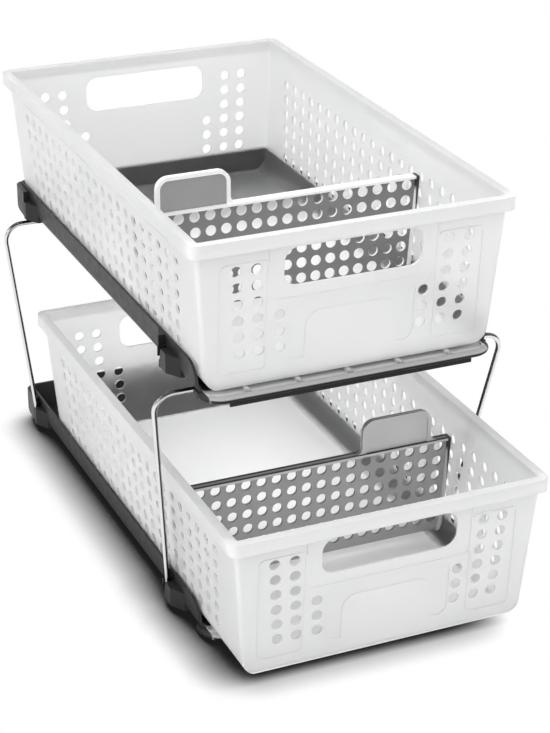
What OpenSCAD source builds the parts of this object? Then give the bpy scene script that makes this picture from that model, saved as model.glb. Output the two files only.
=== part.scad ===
// Two-tier pull-out cabinet basket: two sliding baskets on two trays held by two bent wire frames.
// Millimetres. X is across, Y goes to the back, Z is up. The floor is z = 0, and the origin lies
// under the middle of the whole, with the lower basket pulled out.

/* [Basket] */
// Outside width over the rim
basket_width = 252; // [238:1:266]
// Outside depth over the rim
basket_depth = 438; // [425:1:455]
// Height of a basket from its underside to its rim
basket_height = 118; // [114:1:126]
// How much wider each wall stands at the rim than at the floor
wall_draft = 8.5; // [7:0.5:10]
// Wall thickness
wall = 1.8; // [1.5:0.1:2.2]
// Width of the flat rim outside the wall
rim_flange = 5; // [4:0.5:6]
// Height of the turned-down edge of the rim
rim_drop = 10; // [7:0.5:11]
// Radius between a side wall and the floor
floor_radius = 17; // [14:1:22]
// Hole diameter
hole_d = 8.4; // [6:0.2:9.4]
// Distance between hole columns of a side wall
column_pitch = 17.05; // [16:0.05:17.5]
// Distance between hole rows
row_pitch = 12.8; // [11:0.1:13.2]
// Half the length of a handle opening
handle_half = 54; // [44:1:56]
// Height of a handle opening
handle_height = 29.7; // [24:0.1:31]

/* [Tray] */
// Free space between a basket and the tray wall, each side
tray_gap = 1; // [0.6:0.1:1.6]
// Thickness of the tray walls and floor
tray_wall = 2; // [1.6:0.1:2.6]
// Height of the tray wall above the basket's underside
tray_rise = 21; // [18:0.5:24]
// Free height under a basket over the runners
runner_gap = 0.3; // [0.3:0.1:0.8]

/* [Wire frames] */
// Wire diameter
wire_d = 4; // [3:0.1:4.4]
// Free space round the wire in a clip
wire_gap = 0.3; // [0.2:0.05:0.5]
// Height from the lower tray to the upper tray
tier_rise = 195; // [185:1:230]
// How far the wire stands out beyond the rim at the top
wire_reach = 15.5; // [13:0.5:22]
// How far the front frame leans forward
front_lean = 39; // [0:1:44]

/* [Divider] */
// Free space between a divider and the basket wall
divider_gap = 0.35; // [0.3:0.05:0.8]
// Thickness of the perforated panel
panel_thickness = 2.2; // [1.6:0.1:3]
// Depth of the edge flange
flange_depth = 8; // [5:0.5:10]
// Distance between the holes of a divider
divider_pitch = 12.6; // [11:0.1:12.8]
// How far before the basket's middle a divider stands
divider_place = 80; // [30:1:150]

/* [Positions] */
// How far the lower basket is pulled out
lower_pull = 68; // [0:1:130]

/* [Hidden] */

// Longer than any piece, for what runs right through
through = 2*basket_depth;

// Heights of the two tiers: a basket's underside
low = 9;
high = low + tier_rise;

// Basket
top_hx = basket_width/2 - rim_flange;
top_hy = basket_depth/2 - rim_flange;
base_hx = top_hx - wall_draft;
base_hy = top_hy - wall_draft;
draft_angle = atan(wall_draft/basket_height);
corner_r = 3;
// Lean of an upright edge between two drafted walls, and half the angle between these walls
corner_lean = atan(sqrt(2)*wall_draft/basket_height);
corner_half = 90 - acos(sin(draft_angle)^2)/2;
end_floor_r = 4;
// Share by which the lowest row of holes is narrower than the top row
fan = 0.045;
rows = 6;
columns = 10;
side_row = 25;
end_row = 28;
end_columns = [58, 75, 90.5];
relief = 0.6;
rim_r = 7;
handle_z = 74.5;
handle_r = 10.5;

// Tray
tray_floor = -5;
tray_front = 2 - basket_depth/2;
tray_back = basket_depth/2 - 8;
tray_corner = 17;
tray_back_r = 6;
tray_base_r = 10;
lip_top = -0.5;
wall_end = tray_front + 17.4;
wall_end_r = 14;
lip_width = 5;
rib_half = 96;
rib_t = 2;

// Wire frames and their clips
wire_bottom = wire_d/2;
rear_y = tray_back - 29;
front_y = tray_front + 76;
reach = basket_width/2 + wire_reach;
foot = base_hx + 5.4;
bend_top = 14;
bend_foot = 12;
slot = wire_d + 2*wire_gap;
rod_let = 0.3;
rod_step = 0.02;

// Clips: they reach just past a leg, which stands out further the higher it gets
clip_low = -2;
clip_front_top = 13;
clip_taper = 12;
hook_top = 4;
hook_t = 1.6;
leg_slope = (reach - foot)/tier_rise;
clip_out = foot + leg_slope*(low + hook_top - wire_bottom) + wire_d/2 + wire_gap + hook_t;

// Divider
divider_columns = 18;
divider_rows = 6;
divider_fan = 0.041;
divider_bottom = 9;
divider_top = 90;
tab_top = basket_height - 0.5;
tab_x = 70;
tab_half = 29.5;
tab_r = 10;
foot_r = 6;
edge_t = 2;
bead = 3;

// ---------------------------------------------------------------- basket

// Section of the basket's outside, moved in by "inset"
module wall_section(half, inset){
  h = half - inset;
  polygon([[-h, 0], [h, 0], [h + wall_draft, basket_height], [-h - wall_draft, basket_height]]);
}

// The same section with its lower corners rounded
module round_section(half, inset, r){
  c = half - inset + r*tan(draft_angle) - r/cos(draft_angle);
  difference(){
    wall_section(half, inset);
    for(s = [-1, 1]) difference(){
      translate([s > 0 ? c : -c - 60, -1]) square([60, r + 1 - r*sin(draft_angle)]);
      translate([s*c, r]) circle(r = r, $fn = 96);
    }
  }
}

module across(length) { rotate([90, 0, 90]) linear_extrude(length, center = true) children(); }
module along(length)  { rotate([90, 0, 0]) linear_extrude(length, center = true) children(); }

// Block with four drafted walls. Its corners are round with one radius all the way up: a cylinder
// leans with each corner and touches both walls.
module drafted_block(inset){
  r = corner_r - inset;
  difference(){
    intersection(){
      along(through) wall_section(base_hx, inset);
      across(through) wall_section(base_hy, inset);
    }
    for(x = [0, 1], y = [0, 1]) mirror([x, 0, 0]) mirror([0, y, 0])
      translate([base_hx - inset, base_hy - inset, 0]) rotate([0, 0, 45]) rotate([0, corner_lean, 0])
        translate([-r/sin(corner_half), 0, 0]) difference(){
          translate([r*sin(corner_half), -20, -basket_height]) cube([20, 40, 3*basket_height]);
          cylinder(r = r, h = 6*basket_height, center = true, $fn = 32);
        }
  }
}

module tub(inset){
  translate([0, 0, inset]) intersection(){
    drafted_block(inset);
    along(through) round_section(base_hx, inset, floor_radius - inset);
    across(through) round_section(base_hy, inset, end_floor_r - inset);
  }
}

module round_plate(hx, hy, r){
  square([2*hx, 2*(hy - r)], center = true);
  square([2*(hx - r), 2*hy], center = true);
  for(x = [-1, 1], y = [-1, 1]) translate([x*(hx - r), y*(hy - r)]) circle(r = r, $fn = 64);
}

// Rectangle with round corners between two opposite corner points
module round_box(x0, z0, x1, z1, r){
  translate([(x0 + x1)/2, (z0 + z1)/2]) round_plate((x1 - x0)/2, (z1 - z0)/2, r);
}

module rim(){
  translate([0, 0, basket_height - rim_drop]) difference(){
    linear_extrude(rim_drop) round_plate(basket_width/2, basket_depth/2, rim_r);
    translate([0, 0, -1]) linear_extrude(rim_drop + 1 - wall)
      round_plate(basket_width/2 - 1.6, basket_depth/2 - 1.6, rim_r - 1.6);
  }
}

module side_holes(){
  for(j = [0 : rows - 1]){
    narrow = 1 - fan*(rows - 1 - j)/(rows - 1);
    for(i = [-columns : columns])
      translate([0, i*column_pitch*narrow, side_row + j*row_pitch])
        rotate([0, 90, 0]) cylinder(d = hole_d, h = through, center = true, $fn = 32);
  }
}

module end_holes(){
  for(j = [0 : rows - 1]){
    narrow = 1 - fan*(rows - 1 - j)/(rows - 1);
    for(x = j < rows/2 ? end_columns : [end_columns[1], end_columns[2]], s = [-1, 1])
      translate([s*x*narrow, 0, end_row + j*row_pitch])
        rotate([90, 0, 0]) cylinder(d = hole_d, h = through, center = true, $fn = 32);
  }
}

module handle_openings(){
  along(through) round_box(-handle_half, handle_z, handle_half, handle_z + handle_height, handle_r);
}

// Raised lines on the two ends: a frame round the handle opening and round each group of holes
module end_lines(){
  intersection(){
    across(210) wall_section(base_hy, -relief);
    union(){
      along(through) difference(){
        round_box(-66, 64.5, 66, 140, 6);
        round_box(-64.8, 65.7, 64.8, 138, 4.8);
      }
      for(s = [-1, 1]) along(through) translate([s*84, 0]) difference(){
        round_box(-18.5, 12, 18.5, 98, 5);
        round_box(-17.3, 13.2, 17.3, 96.8, 3.8);
      }
    }
  }
}

// Shallow arch pressed into each end under the handle
module end_arch(){
  difference(){
    along(through) difference(){
      round_box(-50, 16, 50, 62.5, 8);
      round_box(-36, 0, 36, 52, 12);
    }
    across(210) wall_section(base_hy, relief);
  }
}

// Raised line along each side over the holes
module side_lines(){
  intersection(){
    along(360) wall_section(base_hx, -relief);
    across(through) round_box(-170, 99.4, 178, 100.8, 0.6);
  }
}

module basket(){
  difference(){
    union(){
      tub(0);
      rim();
      end_lines();
      side_lines();
    }
    tub(wall);
    side_holes();
    end_holes();
    handle_openings();
    end_arch();
  }
}

// ---------------------------------------------------------------- tray

// Half width of the basket's outside at height z over its underside
function basket_half(z) = base_hx + wall_draft*z/basket_height;
tray_hx = basket_half(tray_rise) + tray_gap + tray_wall;
tray_base_hx = basket_half(tray_floor) + tray_gap + tray_wall;
lip_hx = basket_half(lip_top) + tray_gap + tray_wall;

// Section of the tray across, moved in by "inset"
module tray_section(inset){
  r = tray_base_r - inset;
  c = tray_base_hx - tray_base_r;
  top = tray_rise + (inset > 0 ? 5 : 0);
  grow = (tray_hx - tray_base_hx)/(tray_rise - tray_floor);
  a = tray_base_hx - inset + grow*(top - tray_floor);
  b = tray_base_hx - inset;
  difference(){
    polygon([[-b, tray_floor + inset], [b, tray_floor + inset], [a, top], [-a, top]]);
    for(s = [-1, 1]) difference(){
      translate([s > 0 ? c : -c - 40, tray_floor - 1]) square([40, tray_base_r + 1]);
      translate([s*c, tray_floor + tray_base_r]) circle(r = r, $fn = 64);
      translate([s*c, tray_floor + tray_base_r]) translate([s > 0 ? 0 : -r - 3, -0.6]) square([r + 3, 1.2]);
    }
  }
}

// Seen from the side: full walls that end in a round corner over the front lip
module tray_side(){
  y = wall_end + wall_end_r + 1.1;
  translate([y, tray_floor]) square([tray_back - y, tray_rise - tray_floor]);
  translate([y, tray_rise - wall_end_r]) circle(r = wall_end_r, $fn = 64);
  polygon([[wall_end, tray_floor], [wall_end, 0.6], [wall_end + 1.1, tray_rise - wall_end_r],
           [y, tray_rise - wall_end_r], [y, tray_floor]]);
}

module lip_section(){
  t = lip_top - tray_floor;
  translate([-lip_width, tray_floor]) square([lip_width - t/2, t]);
  translate([-t/2, tray_floor + t/2]) circle(r = t/2, $fn = 32);
}

// Front edge with its two round corners
module lip(){
  cx = lip_hx - tray_corner;
  cy = tray_front + tray_corner;
  translate([0, cy, 0]) rotate([90, 0, -90]) linear_extrude(2*cx, center = true)
    translate([tray_corner, 0]) lip_section();
  for(s = [0, 1]) mirror([s, 0, 0]) translate([cx, cy, 0]) rotate([0, 0, -90])
    rotate_extrude(angle = 90, $fn = 64) translate([tray_corner, 0]) lip_section();
  for(s = [-1, 1]) translate([s*(lip_hx - lip_width/2), cy + 4, (tray_floor + lip_top)/2])
    cube([lip_width, 8, lip_top - tray_floor], center = true);
}

// Floor between the lip and the walls
module front_floor(){
  x = lip_hx - lip_width/2;
  translate([0, 0, tray_floor]) linear_extrude(tray_wall) intersection(){
    round_box(-x, tray_front + lip_width/2, x, wall_end + 40, tray_corner - lip_width/2);
    translate([-200, tray_front]) square([400, wall_end + 2 - tray_front]);
  }
}

module tray_plan(inset){
  round_box(-tray_hx + inset, tray_front + 6, tray_hx - inset, tray_back - inset, tray_back_r - inset);
}

// Turns what is drawn upright on the floor to the lean of a wire frame, in a tray's coordinates
module leaning(lean) translate([0, 0, wire_bottom - low]) rotate([atan(lean/tier_rise), 0, 0]) children();

// Clips at both sides: a low jaw with a hook before the slot for the wire, and an ear behind it,
// whose plan is "ear", from height "from" to height "to"
module clips(y, lean, jaw, ear, from, to){
  x0 = tray_base_hx - 6;
  for(s = [0, 1]) mirror([s, 0, 0]) translate([0, y, 0]){
    difference(){
      union(){
        translate([0, 0, clip_low]) linear_extrude(clip_front_top - clip_low)
          polygon([[x0, 0], [clip_out, 0], [clip_out, -slot/2 - jaw + clip_taper],
            [tray_hx - 1, -slot/2 - jaw], [x0, -slot/2 - jaw]]);
        intersection(){
          translate([0, 0, from]) linear_extrude(to - from)
            polygon(concat([[x0, 0], [clip_out - 1, 0]], ear, [[x0, ear[len(ear) - 1][1]]]));
          across(through) round_box(-20, from, tray_back - y, to + 20, 11);
        }
      }
      leaning(lean) translate([x0 - 1, -slot/2, 0]) cube([60, slot, 60]);
    }
    leaning(lean) translate([clip_out - hook_t, -slot/2 - 1, low + clip_low - wire_bottom])
      cube([hook_t, 2.2, hook_top - clip_low]);
  }
}

module tray(){
  difference(){
    union(){
      intersection(){
        along(through) tray_section(0);
        across(through) tray_side();
        translate([0, 0, -20]) linear_extrude(60) tray_plan(0);
      }
      lip();
      clips(front_y, front_lean, 26, [[tray_hx - 1, slot/2 + 14]], clip_front_top - 2, tray_rise);
      clips(rear_y, 0, 16, [[tray_base_hx + 5.5, tray_back - rear_y - 4],
                            [tray_base_hx + 2, tray_back - rear_y]], clip_low, tray_rise - 1);
    }
    // Inside of the tray
    intersection(){
      along(through) tray_section(tray_wall);
      translate([0, 0, tray_floor + tray_wall]) linear_extrude(60) tray_plan(tray_wall);
      translate([-200, wall_end - 0.4, -20]) cube([400, 500, 80]);
    }
  }
  // Floor behind the lip, with two drain slots
  difference(){
    front_floor();
    for(s = [-1, 1]) translate([s*92.5, tray_front + lip_width + 2, -5]) cube([7, 3, 20], center = true);
  }
  // Runners
  for(x = [-80, -40, 0, 40, 80])
    translate([x - 1.5, tray_front + lip_width + 1, tray_floor + tray_wall - 0.01])
      cube([3, tray_back - tray_front - lip_width - 9, -runner_gap - tray_floor - tray_wall + 0.01]);
  // Rib under the lip: the lower tray stands on it
  translate([-rib_half, tray_front + 3, -low]) cube([2*rib_half, rib_t, low + tray_floor + 0.01]);
  // Lugs that hold the cross wires
  for(y = [front_y - front_lean, front_y, rear_y], x = [-70, 0, 70], s = [-1, 1])
    translate([x - 5, y + s*(slot/2 + 1) - 1, -8.5]) cube([10, 2, 3.51]);
}

// ---------------------------------------------------------------- wire frame

// Straight length between a and b, let into the bend at each end
module rod(a, b){
  d = b - a;
  translate([a[0], a[1], 0]) rotate([0, 0, atan2(d[1], d[0])]) translate([-rod_let, 0, 0])
    rotate([0, 90, 0]) cylinder(d = wire_d - 2*rod_step, h = norm(d) + 2*rod_let, $fn = 32);
}

// Round corner at p between unit directions u (coming in) and v (going out), turning right
module corner(p, u, v, r){
  turn = acos(u*v);
  t = r*tan(turn/2);
  c = p - u*t + [u[1], -u[0]]*r;
  e = p + v*t - c;
  translate([c[0], c[1], 0]) rotate([0, 0, atan2(e[1], e[0])])
    rotate_extrude(angle = turn, $fn = 96) translate([r, 0]) circle(d = wire_d, $fn = 32);
}

module wire_frame(lean){
  rise = norm([lean, tier_rise]);
  p = [[-reach, rise], [reach, rise], [foot, 0], [-foot, 0]];
  r = [bend_top, bend_top, bend_foot, bend_foot];
  dir = [for(i = [0 : 3]) (p[(i + 1) % 4] - p[i])/norm(p[(i + 1) % 4] - p[i])];
  cut = [for(i = [0 : 3]) r[i]*tan(acos(dir[i]*dir[(i + 3) % 4])/2)];
  translate([0, 0, wire_bottom]) rotate([atan(lean/tier_rise), 0, 0]) rotate([90, 0, 0])
    for(i = [0 : 3]){
      n = (i + 1) % 4;
      rod(p[i] + dir[i]*cut[i], p[n] - dir[i]*cut[n]);
      corner(p[i], dir[(i + 3) % 4], dir[i], r[i]);
    }
}

// ---------------------------------------------------------------- divider

// Section inside a basket, at the distance "o" from its outside
module inside_section(o) translate([0, o]) round_section(base_hx, o, floor_radius - o);

module divider_outline(inset){
  intersection(){
    inside_section(wall + divider_gap + inset);
    translate([-200, inset > 0 ? 0 : divider_bottom])
      square([400, divider_top - inset - (inset > 0 ? 0 : divider_bottom)]);
  }
}

// Handle tab with hollow corners at its foot
module tab_outline(inset){
  h = tab_half - inset;
  foot = divider_top - edge_t;
  round_box(-h, foot - 12, h, tab_top - inset, tab_r - inset);
  if(inset == 0) for(s = [-1, 1]) difference(){
    translate([s > 0 ? h - 0.01 : -h - foot_r + 0.01, divider_top - 1]) square([foot_r, foot_r + 1]);
    translate([s*(h + foot_r), divider_top + foot_r]) circle(r = foot_r, $fn = 48);
  }
}

module divider(){
  difference(){
    union(){
      along(panel_thickness) union(){
        divider_outline(0);
        translate([tab_x, 0]) tab_outline(0);
      }
      // Flange along the top and both sides
      along(flange_depth) difference(){
        divider_outline(0);
        divider_outline(edge_t);
      }
      // Thick edge of the tab
      along(panel_thickness + 2) intersection(){
        translate([tab_x, 0]) difference(){
          tab_outline(0);
          tab_outline(bead);
        }
        translate([-200, divider_top - 1]) square([400, 60]);
      }
    }
    for(j = [0 : divider_rows - 1], i = [0 : divider_columns - 1])
      translate([(i - (divider_columns - 1)/2)*divider_pitch*(1 - divider_fan*j/(divider_rows - 1)), 0,
                 divider_top - 7 - j*divider_pitch])
        rotate([90, 0, 0]) cylinder(d = hole_d, h = panel_thickness + 1, center = true, $fn = 32);
  }
}

// ---------------------------------------------------------------- pieces

dark = [0.13, 0.13, 0.14];
frost = [0.93, 0.94, 0.94];
steel = [0.8, 0.8, 0.82];
grey = [0.4, 0.4, 0.42];

// Puts a piece at its tier, with the middle of the whole over the origin
module place(y, z) translate([0, y + lower_pull/2, z]) children();

module upper_tray() color(dark) place(0, high) tray();
module lower_tray() color(dark) place(0, low) tray();
module front_wire_frame() color(steel) place(front_y, 0) wire_frame(front_lean);
module rear_wire_frame() color(steel) place(rear_y, 0) wire_frame(0);
module upper_basket() color(frost) place(0, high) basket();
module lower_basket() color(frost) place(-lower_pull, low) basket();
module upper_divider() color(grey) place(-divider_place, high) rotate([0, 0, 180]) divider();
module lower_divider() color(grey) place(-divider_place - lower_pull, low) divider();

upper_tray();
lower_tray();
front_wire_frame();
rear_wire_frame();
upper_basket();
lower_basket();
upper_divider();
lower_divider();
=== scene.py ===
"""Looks of the two-tier pull-out cabinet basket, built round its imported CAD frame.

Lengths are in metres.
"""

import math

import bpy
from mathutils import Matrix, Vector


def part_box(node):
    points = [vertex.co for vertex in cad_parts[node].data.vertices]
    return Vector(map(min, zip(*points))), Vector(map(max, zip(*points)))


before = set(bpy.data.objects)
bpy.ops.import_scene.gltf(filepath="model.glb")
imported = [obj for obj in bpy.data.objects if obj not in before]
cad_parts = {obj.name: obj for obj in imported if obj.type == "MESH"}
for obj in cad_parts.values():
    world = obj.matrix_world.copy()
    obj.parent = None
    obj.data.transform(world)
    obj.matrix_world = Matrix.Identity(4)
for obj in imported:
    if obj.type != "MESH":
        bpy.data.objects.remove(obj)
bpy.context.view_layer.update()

# ---------------------------------------------------------------- camera

# Where the photograph was taken from, with its turns in degrees
CAMERA_PLACE = (-0.5941, -1.3923, 0.8406)
CAMERA_YAW = 23.7
CAMERA_PITCH = 25.1
CAMERA_ROLL = 0.2
CLIP_START = 0.01
CLIP_END = 50.0
SENSOR = 36.0
PHOTO_HEIGHT_PX = 733
FOCAL_PX = 2076.2


def make_camera():
    """The camera looks along +Y, turned to +X by the yaw and down by the pitch."""
    data = bpy.data.cameras.new("camera")
    camera = bpy.data.objects.new("camera", data)
    bpy.context.scene.collection.objects.link(camera)
    data.sensor_fit = "AUTO"
    data.sensor_width = SENSOR
    data.lens = SENSOR * FOCAL_PX / PHOTO_HEIGHT_PX
    data.clip_start = CLIP_START
    data.clip_end = CLIP_END
    turn = Matrix.Rotation(-math.radians(CAMERA_YAW), 4, "Z")
    tilt = Matrix.Rotation(math.radians(90.0 - CAMERA_PITCH), 4, "X")
    roll = Matrix.Rotation(math.radians(CAMERA_ROLL), 4, "Z")
    camera.matrix_world = Matrix.Translation(Vector(CAMERA_PLACE)) @ turn @ tilt @ roll
    bpy.context.scene.camera = camera


# ---------------------------------------------------------------- nodes

# Detail of a noise in soft clouds, and in a fine grain
CLOUDS = 2.0
GRAIN = 3.0
# How much each finer layer of a noise counts, and the span in which most of its values lie
NOISE_LAYERS = 0.5
NOISE_SPAN = (0.3, 0.7)

# Sockets of the Mix node, which has a set of them for each type
MIX_NUMBERS = (2, 3)
MIX_NUMBER_OUT = 0
MIX_COLOURS = (6, 7)
MIX_COLOUR_OUT = 2


def grey(level, blue=1.0):
    """A grey, with its blue made stronger by a factor."""
    return (level, level, blue * level)


def shift(base, span):
    """The coordinates of a span that is counted from a base."""
    return tuple(base + distance for distance in span)


class Nodes:
    """A node tree, with a short word for each node that is used in it."""

    def __init__(self, tree):
        self.tree = tree

    def add(self, kind, **values):
        node = self.tree.nodes.new(kind)
        for key, value in values.items():
            setattr(node, key, value)
        return node

    def put(self, socket, value):
        """Writes a number or a colour to a socket, or links a node's output to it."""
        if isinstance(value, float):
            socket.default_value = value
        elif isinstance(value, tuple):
            socket.default_value = (*value, 1.0)
        else:
            self.tree.links.new(value, socket)

    def spread(self, value, low, high, span, smooth=False):
        """Low up to the start of the span, high from its end, and a slope over it."""
        node = self.add("ShaderNodeMapRange")
        if smooth:
            node.interpolation_type = "SMOOTHSTEP"
        self.put(node.inputs["From Min"], span[0])
        self.put(node.inputs["From Max"], span[1])
        self.put(node.inputs["To Min"], low)
        self.put(node.inputs["To Max"], high)
        self.put(node.inputs["Value"], value)
        return node.outputs["Result"]

    def rise(self, value, span, smooth=False):
        """0 before the span and 1 past it."""
        return self.spread(value, 0.0, 1.0, span, smooth)

    def fall(self, value, span, smooth=False):
        """1 before the span and 0 past it."""
        return self.spread(value, 1.0, 0.0, span, smooth)

    def math(self, operation, a, b=0.0):
        node = self.add("ShaderNodeMath", operation=operation)
        self.put(node.inputs[0], a)
        self.put(node.inputs[1], b)
        return node.outputs["Value"]

    def both(self, a, b):
        return self.math("MULTIPLY", a, b)

    def either(self, a, b):
        return self.math("MAXIMUM", a, b)

    def blend(self, factor, a, b):
        """Number a where the factor is 0 and b where it is 1."""
        node = self.add("ShaderNodeMix", data_type="FLOAT")
        self.put(node.inputs["Factor"], factor)
        for index, value in zip(MIX_NUMBERS, (a, b)):
            self.put(node.inputs[index], value)
        return node.outputs[MIX_NUMBER_OUT]

    def mix(self, factor, a, b, way="MIX"):
        """Colour a where the factor is 0 and b, or a and b together, where it is 1."""
        node = self.add("ShaderNodeMix", data_type="RGBA", blend_type=way)
        self.put(node.inputs["Factor"], factor)
        for index, value in zip(MIX_COLOURS, (a, b)):
            self.put(node.inputs[index], value)
        return node.outputs[MIX_COLOUR_OUT]


class Shader(Nodes):
    """A Principled material whose patterns follow the place on its piece."""

    def __init__(self, name):
        self.material = bpy.data.materials.new(name)
        self.material.use_nodes = True
        super().__init__(self.material.node_tree)
        self.main = self.tree.nodes["Principled BSDF"]
        place = self.add("ShaderNodeTexCoord")
        self.place = place.outputs["Object"]
        self.x, self.y, self.z = self.split(self.place)
        self.normal_x, self.normal_y, self.normal_z = self.split(place.outputs["Normal"])

    def split(self, vector):
        node = self.add("ShaderNodeSeparateXYZ")
        self.put(node.inputs["Vector"], vector)
        return node.outputs

    def set(self, **values):
        """Numbers that are the same all over, written to the shader's own sockets."""
        for key, value in values.items():
            self.put(self.main.inputs[key.replace("_", " ")], value)

    def feed(self, output, name):
        self.put(self.main.inputs[name], output)

    def noise(self, scale, detail):
        node = self.add("ShaderNodeTexNoise")
        self.put(node.inputs["Scale"], scale)
        self.put(node.inputs["Detail"], detail)
        self.put(node.inputs["Roughness"], NOISE_LAYERS)
        self.put(node.inputs["Vector"], self.place)
        return node.outputs["Fac"]

    def wander(self, scale, low, high, detail):
        """A number that wanders between two values from place to place."""
        return self.spread(self.noise(scale, detail), low, high, NOISE_SPAN)

    def tint(self, scale, dark, light):
        """A colour that wanders between two shades from place to place."""
        return self.mix(self.wander(scale, 0.0, 1.0, CLOUDS), dark, light)

    def bump(self, scale, height, strength, detail=GRAIN):
        """A relief all over, with its height in metres."""
        node = self.add("ShaderNodeBump")
        self.put(node.inputs["Strength"], strength)
        self.put(node.inputs["Distance"], height)
        self.put(node.inputs["Height"], self.noise(scale, detail))
        self.feed(node.outputs["Normal"], "Normal")


# ---------------------------------------------------------------- frosted baskets

# Height of the tray's wall over a basket's underside
TRAY_RISE = 0.021
# The line between frosted and clear, across its height, and where the clear band starts
CLEAR_LINE = (-0.0003, 0.0003)
CLEAR_START = (0.0, 0.003)
# From the back rim, where the back wall starts
BACK_WALL = (-0.0178, -0.0175)
# From the front rim, where the front wall ends
FRONT_WALL = (0.008, 0.016)
# From the underside, where the floor ends
BASKET_FLOOR = (0.0019, 0.004)
# How clear the front wall is, the side and back walls, the clear band and the milky floor
FRONT_CLEAR = 0.38
SIDE_CLEAR = 0.66
BAND_CLEAR = 0.97
MILKY_CLEAR = 0.08

MILK_DARK = (0.955, 0.96, 0.96)
MILK_LIGHT = grey(0.985)


def frosted_plastic(name, floor_clear, floor_rough, clear_from, back_band, floor_fade=None):
    """Frosted plastic, with a clear band where it lies in the tray and a floor of its own.

    clear_from is how far behind the front rim the clear band starts, and back_band is its
    height at the back wall. With floor_fade the floor turns from milky in front to clear over
    this span, which is counted from the back rim.
    """
    s = Shader(name + "_frosted")
    s.set(IOR=1.45)
    low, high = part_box(name)

    under = s.fall(s.z, shift(low.z + TRAY_RISE, CLEAR_LINE))
    behind = s.rise(s.y, shift(low.y + clear_from, CLEAR_START), smooth=True)
    under_back = s.fall(s.z, shift(low.z + back_band, CLEAR_LINE))
    at_back = s.rise(s.y, shift(high.y, BACK_WALL))
    band = s.either(s.both(under, behind), s.both(under_back, at_back))
    wall = s.spread(s.y, FRONT_CLEAR, SIDE_CLEAR, shift(low.y, FRONT_WALL))

    floor = s.fall(s.z, shift(low.z, BASKET_FLOOR), smooth=True)
    if floor_fade:
        span = shift(high.y, floor_fade)
        floor_clear = s.spread(s.y, MILKY_CLEAR, floor_clear, span, smooth=True)
    clear = s.blend(floor, s.blend(band, wall, BAND_CLEAR), floor_clear)
    s.feed(clear, "Transmission Weight")

    s.feed(s.tint(scale=14.0, dark=MILK_DARK, light=MILK_LIGHT), "Base Color")
    wall_rough = s.wander(scale=60.0, low=0.34, high=0.44, detail=CLOUDS)
    s.feed(s.blend(floor, wall_rough, floor_rough), "Roughness")
    s.bump(scale=900.0, height=0.00003, strength=0.5)
    return s.material


# ---------------------------------------------------------------- dark trays

# From the tray's front edge, where its low step ends
STEP_END = (0.022, 0.023)
# From the same edge, where its painted shade ends, and where the step's painted highlight turns
# paler
STEP_EDGE = (0.0045, 0.005)
STEP_LIGHT_PALER = (0.008, 0.012)
# From the outermost side, where the step ends and where the clips start
STEP_SIDE = (-0.013, -0.012)
CLIPS = (-0.008, -0.007)
# How far a face is turned outward to be an outer side, upward to be the tray's floor, and
# upward to be no longer the front edge
OUTER_FACE = (0.4, 0.6)
FLOOR_FACE = (0.6, 0.9)
EDGE_FACE = (0.2, 0.5)

INSIDE_DARK = (0.036, 0.036, 0.038)
INSIDE_LIGHT = (0.047, 0.047, 0.049)
# Painted shade on the tray's upward floor faces
PAINTED_FLOOR_SHADE = (0.03, 0.03, 0.031)
# Painted shade on the outer sides and the clips
PAINTED_OUTSIDE_SHADE = (0.018, 0.018, 0.019)
# Painted shade on the step's front edge and the rib below
PAINTED_EDGE_SHADE = (0.015, 0.015, 0.016)
# Painted highlight on the step's top, paler further back
PAINTED_STEP_LIGHT_FRONT = (0.38, 0.38, 0.385)
PAINTED_STEP_LIGHT_BACK = (0.72, 0.72, 0.725)


def tray_plastic(name):
    """Dark moulded plastic, with painted shade and a painted highlight on its front step."""
    s = Shader(name + "_dark")
    s.set(IOR=1.46, Specular_IOR_Level=0.25)
    low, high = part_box(name)
    across = s.math("ABSOLUTE", s.x)

    # The outer sides and the clips get a painted shade, darker than the inside
    outward = s.math("MULTIPLY", s.normal_x, s.math("SIGN", s.x))
    outside = s.either(s.rise(outward, OUTER_FACE), s.rise(across, shift(high.x, CLIPS)))
    body = s.tint(scale=20.0, dark=INSIDE_DARK, light=INSIDE_LIGHT)
    # Upward faces get a painted shade
    body = s.mix(s.rise(s.normal_z, FLOOR_FACE), body, PAINTED_FLOOR_SHADE)
    body = s.mix(outside, body, PAINTED_OUTSIDE_SHADE)

    # The step in front: a painted highlight on top, and painted shade on its front edge and the
    # rib below
    step = s.both(s.fall(s.y, shift(low.y, STEP_END)), s.fall(across, shift(high.x, STEP_SIDE)))
    edge = s.both(s.fall(s.y, shift(low.y, STEP_EDGE)), s.fall(s.normal_z, EDGE_FACE))
    painted_step_light = s.mix(s.rise(s.y, shift(low.y, STEP_LIGHT_PALER)), PAINTED_STEP_LIGHT_FRONT, PAINTED_STEP_LIGHT_BACK)
    body = s.mix(step, body, painted_step_light)
    s.feed(s.mix(edge, body, PAINTED_EDGE_SHADE), "Base Color")

    s.feed(s.wander(scale=120.0, low=0.36, high=0.48, detail=GRAIN), "Roughness")
    s.bump(scale=1400.0, height=0.00005, strength=0.6)
    return s.material


# ---------------------------------------------------------------- grey dividers

# From the top, where the panel's grey turns into the tab's painted lighter grey
TAB_FOOT = (-0.029, -0.026)
# From the panel's middle plane, where its rails start
RAIL_START = (0.0012, 0.0014)
# From the outermost side, where the painted shade strip at each end starts
END_STRIP = (-0.003, -0.0027)
# How far a face is turned forward or back to be no cut edge, and upward to be a rail's top
BROAD_FACE = (0.5, 0.9)
RAIL_TOP = (0.4, 0.7)

FACE_BLUE = 1.01
CLOUD_DARK = grey(0.92)
CLOUD_LIGHT = grey(1.0)
# Painted shade on the strip at each end
PAINTED_END_SHADE = (0.03, 0.03, 0.032)


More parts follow.
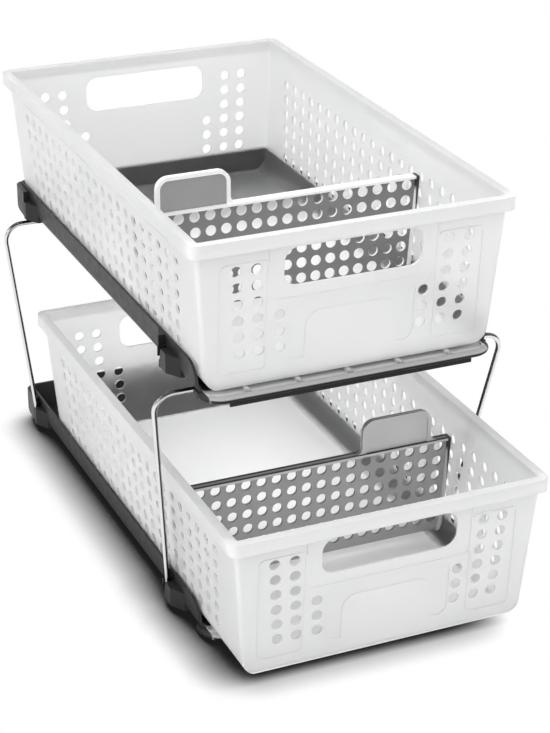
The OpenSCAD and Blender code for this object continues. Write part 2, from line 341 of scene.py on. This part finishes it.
def divider_plastic(name, face, tab, edge, rail, rail_top):
    """Grey moulded plastic, with painted light and shade on its tab, edges, rails and ends."""
    s = Shader(name + "_grey")
    s.set(IOR=1.46)
    low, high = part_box(name)
    middle = (low.y + high.y) / 2
    across = s.math("ABSOLUTE", s.x)
    away = s.math("ABSOLUTE", s.math("SUBTRACT", s.y, middle))
    facing = s.math("ABSOLUTE", s.normal_y)

    # The tab gets a painted lighter grey than the panel's face
    upper = s.rise(s.z, shift(high.z, TAB_FOOT))
    shade = s.mix(upper, grey(face, FACE_BLUE), grey(tab, FACE_BLUE))
    cloud = s.tint(scale=25.0, dark=CLOUD_DARK, light=CLOUD_LIGHT)
    shade = s.mix(1.0, shade, cloud, "MULTIPLY")
    # Cut edges, rails and rail tops get the painted light and shade set for each divider
    shade = s.mix(s.fall(facing, BROAD_FACE), shade, grey(edge))
    rails = s.mix(s.rise(s.normal_z, RAIL_TOP), grey(rail), grey(rail_top))
    shade = s.mix(s.rise(away, RAIL_START), shade, rails)
    # A painted shade strip at each end
    shade = s.mix(s.rise(across, shift(high.x, END_STRIP)), shade, PAINTED_END_SHADE)
    s.feed(shade, "Base Color")

    s.feed(s.wander(scale=90.0, low=0.42, high=0.55, detail=GRAIN), "Roughness")
    s.bump(scale=1300.0, height=0.00005, strength=0.6)
    return s.material


# ---------------------------------------------------------------- chrome wires

# From a wire frame's lowest and highest points, where its legs start and end
LEG_FOOT = (0.006, 0.012)
LEG_TOP = (-0.012, -0.004)
# How far a leg's side is turned inward where its painted dark reflection starts and where it
# ends, and how much further round both stand on the right-hand legs
PAINTED_REFLECTION_START = (-0.3, -0.15)
PAINTED_REFLECTION_END = (0.42, 0.55)
PAINTED_REFLECTION_TURN = 0.8
# How far a cross wire's side is turned upward to be in its painted dark reflection
WIRE_TOP = (0.1, 0.3)

SHINE_DARK = (0.76, 0.76, 0.77)
SHINE_LIGHT = (0.84, 0.84, 0.85)
# Painted dark reflection on the wires
PAINTED_REFLECTION_DARK = (0.07, 0.07, 0.071)


def chrome(name):
    """Polished metal, with a painted dark reflection inside its legs and on its cross wires'
    tops.
    """
    s = Shader(name + "_chrome")
    s.set(Metallic=1.0)
    low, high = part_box(name)

    # A painted dark reflection inside each leg and on top of each cross wire
    side = s.math("SIGN", s.x)
    inward = s.math("MULTIPLY", s.math("MULTIPLY", s.normal_x, side), -1.0)
    inward = s.math("SUBTRACT", inward, s.spread(side, 0.0, PAINTED_REFLECTION_TURN, (-1.0, 1.0)))
    painted_reflection = s.math("SUBTRACT", s.rise(inward, PAINTED_REFLECTION_START), s.rise(inward, PAINTED_REFLECTION_END))
    leg = s.both(s.rise(s.z, shift(low.z, LEG_FOOT)), s.fall(s.z, shift(high.z, LEG_TOP)))
    painted_reflection = s.blend(leg, s.rise(s.normal_z, WIRE_TOP), painted_reflection)
    shine = s.tint(scale=30.0, dark=SHINE_DARK, light=SHINE_LIGHT)
    s.feed(s.mix(painted_reflection, shine, PAINTED_REFLECTION_DARK), "Base Color")

    s.feed(s.wander(scale=200.0, low=0.04, high=0.1, detail=GRAIN), "Roughness")
    s.bump(scale=500.0, height=0.00002, strength=0.3, detail=CLOUDS)
    return s.material


# ---------------------------------------------------------------- dressing

UPPER_BASKET = dict(
    floor_clear=0.91,
    floor_rough=0.3,
    clear_from=0.0175,
    back_band=TRAY_RISE,
    floor_fade=(-0.17, -0.06),
)
LOWER_BASKET = dict(floor_clear=0.05, floor_rough=0.14, clear_from=0.087, back_band=0.056)
# The two dividers are one grey part, and their different greys here are painted light and shade
UPPER_DIVIDER = dict(face=0.23, tab=0.33, edge=0.9, rail=0.92, rail_top=0.9)
LOWER_DIVIDER = dict(face=0.39, tab=0.63, edge=0.2, rail=0.6, rail_top=0.02)

# Each node's material, and what sets it apart from others of its kind
FINISH = {
    "upper_basket": (frosted_plastic, UPPER_BASKET),
    "lower_basket": (frosted_plastic, LOWER_BASKET),
    "upper_tray": (tray_plastic, {}),
    "lower_tray": (tray_plastic, {}),
    "front_wire_frame": (chrome, {}),
    "rear_wire_frame": (chrome, {}),
    "upper_divider": (divider_plastic, UPPER_DIVIDER),
    "lower_divider": (divider_plastic, LOWER_DIVIDER),
}


def dress():
    for name, (make, values) in FINISH.items():
        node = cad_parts[name]
        node.data.materials.clear()
        node.data.materials.append(make(name, **values))


# ---------------------------------------------------------------- studio

GROUND_SIZE = 30.0
GROUND_GREY = 0.85
GROUND_ROUGH = 0.9
# The soft light comes from this way, so that the contact shadow leans away from it
LIGHT_WAY = (0.62, 0.0, 0.75)
SHADOW_REACH = 0.048
SHADOW_SAMPLES = 32
# How open a place is where the shadow starts to lighten and where it ends
SHADOW_SPAN = (0.3, 0.8)
SHADOW_DARKEST = 0.012
# The world's level for the light that surfaces scatter. All else sees it at 1
WORLD_LIGHT = 1.04
# What the large lamps aim at
MIDDLE = (0.0, 0.0, 0.15)


def plane(name, size):
    """A square round the origin that faces up."""
    h = size / 2
    mesh = bpy.data.meshes.new(name)
    mesh.from_pydata([(-h, -h, 0), (h, -h, 0), (h, h, 0), (-h, h, 0)], [], [(0, 1, 2, 3)])
    ob = bpy.data.objects.new(name, mesh)
    bpy.context.scene.collection.objects.link(ob)
    return ob


def white_floor():
    """A pale floor that is seen as white away from the object's soft contact shadow."""
    material = bpy.data.materials.new("floor")
    material.use_nodes = True
    n = Nodes(material.node_tree)
    main = n.tree.nodes["Principled BSDF"]
    n.put(main.inputs["Base Color"], grey(GROUND_GREY))
    n.put(main.inputs["Roughness"], GROUND_ROUGH)

    # The contact shadow
    shade = n.add("ShaderNodeAmbientOcclusion", samples=SHADOW_SAMPLES)
    n.put(shade.inputs["Distance"], SHADOW_REACH)
    way = n.add("ShaderNodeCombineXYZ")
    for socket, value in zip(way.inputs, Vector(LIGHT_WAY).normalized()):
        n.put(socket, value)
    n.put(shade.inputs["Normal"], way.outputs["Vector"])
    glow = n.add("ShaderNodeEmission")
    light = n.spread(shade.outputs["AO"], SHADOW_DARKEST, 1.0, SHADOW_SPAN)
    n.put(glow.inputs["Strength"], light)

    # The camera, metal and clear plastic see it, and the object is lit by the plain floor
    path = n.add("ShaderNodeLightPath")
    seen = path.outputs["Is Camera Ray"]
    for ray in ("Is Glossy Ray", "Is Transmission Ray"):
        seen = n.either(seen, path.outputs[ray])
    pick = n.add("ShaderNodeMixShader")
    n.put(pick.inputs["Fac"], seen)
    n.put(pick.inputs[1], main.outputs["BSDF"])
    n.put(pick.inputs[2], glow.outputs["Emission"])
    n.put(n.tree.nodes["Material Output"].inputs["Surface"], pick.outputs["Shader"])

    floor = plane("floor", GROUND_SIZE)
    floor.data.materials.append(material)


def white_world():
    """A white world, which lights surfaces a little more strongly than it shows."""
    world = bpy.data.worlds.new("world")
    bpy.context.scene.world = world
    world.use_nodes = True
    n = Nodes(world.node_tree)
    back = n.tree.nodes["Background"]
    n.put(back.inputs["Color"], grey(1.0))
    path = n.add("ShaderNodeLightPath")
    level = n.spread(path.outputs["Is Diffuse Ray"], 1.0, WORLD_LIGHT, (0.0, 1.0))
    n.put(back.inputs["Strength"], level)


def lamp(name, place, aim, size, power, hidden=False):
    """A square lamp, in metres and watts. A hidden one is neither seen nor mirrored."""
    data = bpy.data.lights.new(name, "AREA")
    data.shape = "SQUARE"
    data.size = size
    data.energy = power
    ob = bpy.data.objects.new(name, data)
    ob.location = place
    way = Vector(aim) - Vector(place)
    ob.rotation_euler = way.to_track_quat("-Z", "Y").to_euler()
    bpy.context.scene.collection.objects.link(ob)
    if hidden:
        ob.visible_camera = False
        ob.visible_glossy = False


def lamps():
    lamp("key", place=(-1.8, -0.2, 1.5), aim=MIDDLE, size=1.2, power=17.0)
    lamp("fill", place=(1.5, -0.5, 1.2), aim=MIDDLE, size=1.2, power=4.0)
    lamp("above", place=(-0.1, 0.05, 0.9), aim=MIDDLE, size=0.6, power=0.8)
    # Two small ones in the gap under the upper tray: one down to the floor, one to the back
    lamp("between_tiers", place=(0.0, 0.0, 0.19), aim=(0.0, 0.0, 0.0),
         size=0.22, power=0.1, hidden=True)
    lamp("to_the_back", place=(0.0, -0.04, 0.155), aim=(0.0, 0.17, 0.09),
         size=0.1, power=0.11, hidden=True)


dress()
make_camera()
white_floor()
white_world()
lamps()
bpy.context.scene.view_settings.view_transform = "Standard"
